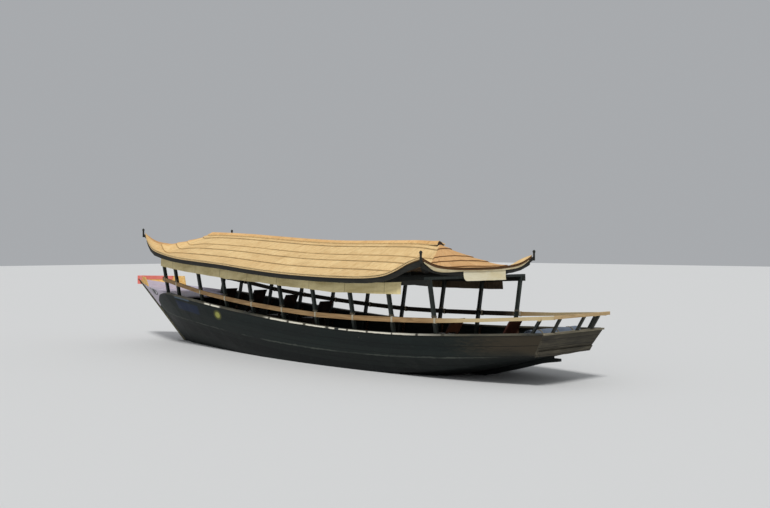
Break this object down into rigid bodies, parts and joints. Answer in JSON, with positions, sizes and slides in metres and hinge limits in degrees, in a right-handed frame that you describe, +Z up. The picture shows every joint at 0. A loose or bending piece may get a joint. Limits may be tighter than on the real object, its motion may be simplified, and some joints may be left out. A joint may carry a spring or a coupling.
{
  "type": "passenger sampan",
  "caption": "Long wooden river boat with a raked bow, open sides, low chairs and a hipped mat roof with upturned corners.",
  "frame": {"origin": "on the waterline, amidships, on the centre plane", "axes": "+X towards the stern, +Y to starboard, +Z up"},
  "size_m": [13.353, 3.176, 3.1582],
  "materials": {
    "dark_hull": "dark green-black hull paint, dull and scuffed",
    "weathered_wood": "bare grey-brown weathered planks",
    "pale_paint": "pale lilac-white paint, dulled",
    "red_paint": "faded red paint",
    "deck_wood": "worn bare boards",
    "rail_wood": "sun-bleached bare pole wood",
    "dark_frame": "near-black stained posts",
    "red_wood": "dark red-brown varnish",
    "roof_mat": "golden tan woven leaf mat",
    "canvas": "cream canvas",
    "tarpaulin": "blue-grey coated cloth",
    "iron": "painted iron",
    "bronze": "dull bronze"
  },
  "bodies": {
    "hull": {"BottomPlanking": "dark_hull", "KeelAndHeel": "dark_hull", "BilgePlankingPort": "dark_hull", "BilgePlankingStarboard": "dark_hull", "SideStrakePort": "dark_hull", "SideStrakeStarboard": "dark_hull", "GunwaleCapPort": "dark_hull", "GunwaleCapStarboard": "dark_hull", "StemBoard": "weathered_wood", "Transom": "weathered_wood", "TransomCap": "weathered_wood", "ForeDeck": "pale_paint", "StemHead": "red_paint", "ProwCheekCapPort": "red_paint", "ProwCheekCapStarboard": "red_paint", "FloorBoards": "deck_wood", "AftDeck": "deck_wood", "SternRail": "rail_wood", "SternPolePort": "rail_wood", "SternPoleStarboard": "rail_wood", "AftPolePort": "rail_wood", "AftPoleStarboard": "rail_wood", "MiddlePolePort": "rail_wood", "MiddlePoleStarboard": "rail_wood", "ForePolePort": "rail_wood", "ForePoleStarboard": "rail_wood", "ProwCheekPort": "rail_wood", "ProwCheekStarboard": "rail_wood", "EaveFrame": "dark_frame", "PostFrame1": "dark_frame", "PostFrame2": "dark_frame", "PostFrame3": "dark_frame", "PostFrame4": "dark_frame", "PostFrame5": "dark_frame", "PostFrame6": "dark_frame", "PostFrame7": "dark_frame", "PostFrame8": "dark_frame", "PostFrame9": "dark_frame", "PostFrame10": "dark_frame", "EavePlatePort": "dark_frame", "EavePlateStarboard": "dark_frame", "RibsAndBearers": "red_wood", "HelmSeat": "red_wood", "Chair1": "red_wood", "Chair2": "red_wood", "Chair3": "red_wood", "Chair4": "red_wood", "Chair5": "red_wood", "RidgeCap": "roof_mat", "RoofSlopeStern": "roof_mat", "RoofSlopeBow": "roof_mat", "RoofSlopePort": "roof_mat", "RoofSlopeStarboard": "roof_mat", "SternBlind": "canvas", "ValancePort": "canvas", "ValanceStarboard": "canvas", "AwningRoll": "tarpaulin", "Engine": "iron", "ShaftBracket": "iron"},
    "propeller": {"Propeller": "bronze"}
  },
  "joints": [
    {"name": "PropellerJoint", "type": "hinge", "parent": "hull", "child": "propeller", "pos_m": [4.56, 0, -0.33], "axis": [0.9903, 0, -0.1392], "continuous": true}
  ]
}
